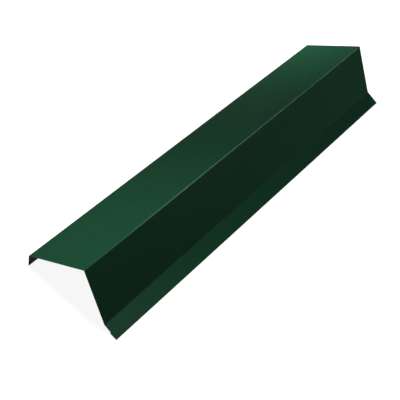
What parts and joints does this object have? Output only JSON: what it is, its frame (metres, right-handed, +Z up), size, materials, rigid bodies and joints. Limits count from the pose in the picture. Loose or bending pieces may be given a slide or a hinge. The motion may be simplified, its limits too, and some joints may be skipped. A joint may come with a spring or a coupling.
{
  "type": "verge trim",
  "caption": "Folded painted steel verge trim: top flange with a turned-down lip, square ridge, outer face and an outward kick with a hemmed edge, to close the gable edge of a pitched roof.",
  "frame": {"origin": "bottom centre of the box around the piece as it lies unheld on a level floor", "axes": "+X along the length, -Y the way the outer face looks, +Z up"},
  "size_m": [0.76, 0.1778, 0.0897],
  "materials": {
    "painted_sheet": "semi-gloss moss green paint outside, grey back coat inside"
  },
  "bodies": {
    "root": {"verge_trim": "painted_sheet"}
  },
  "joints": []
}
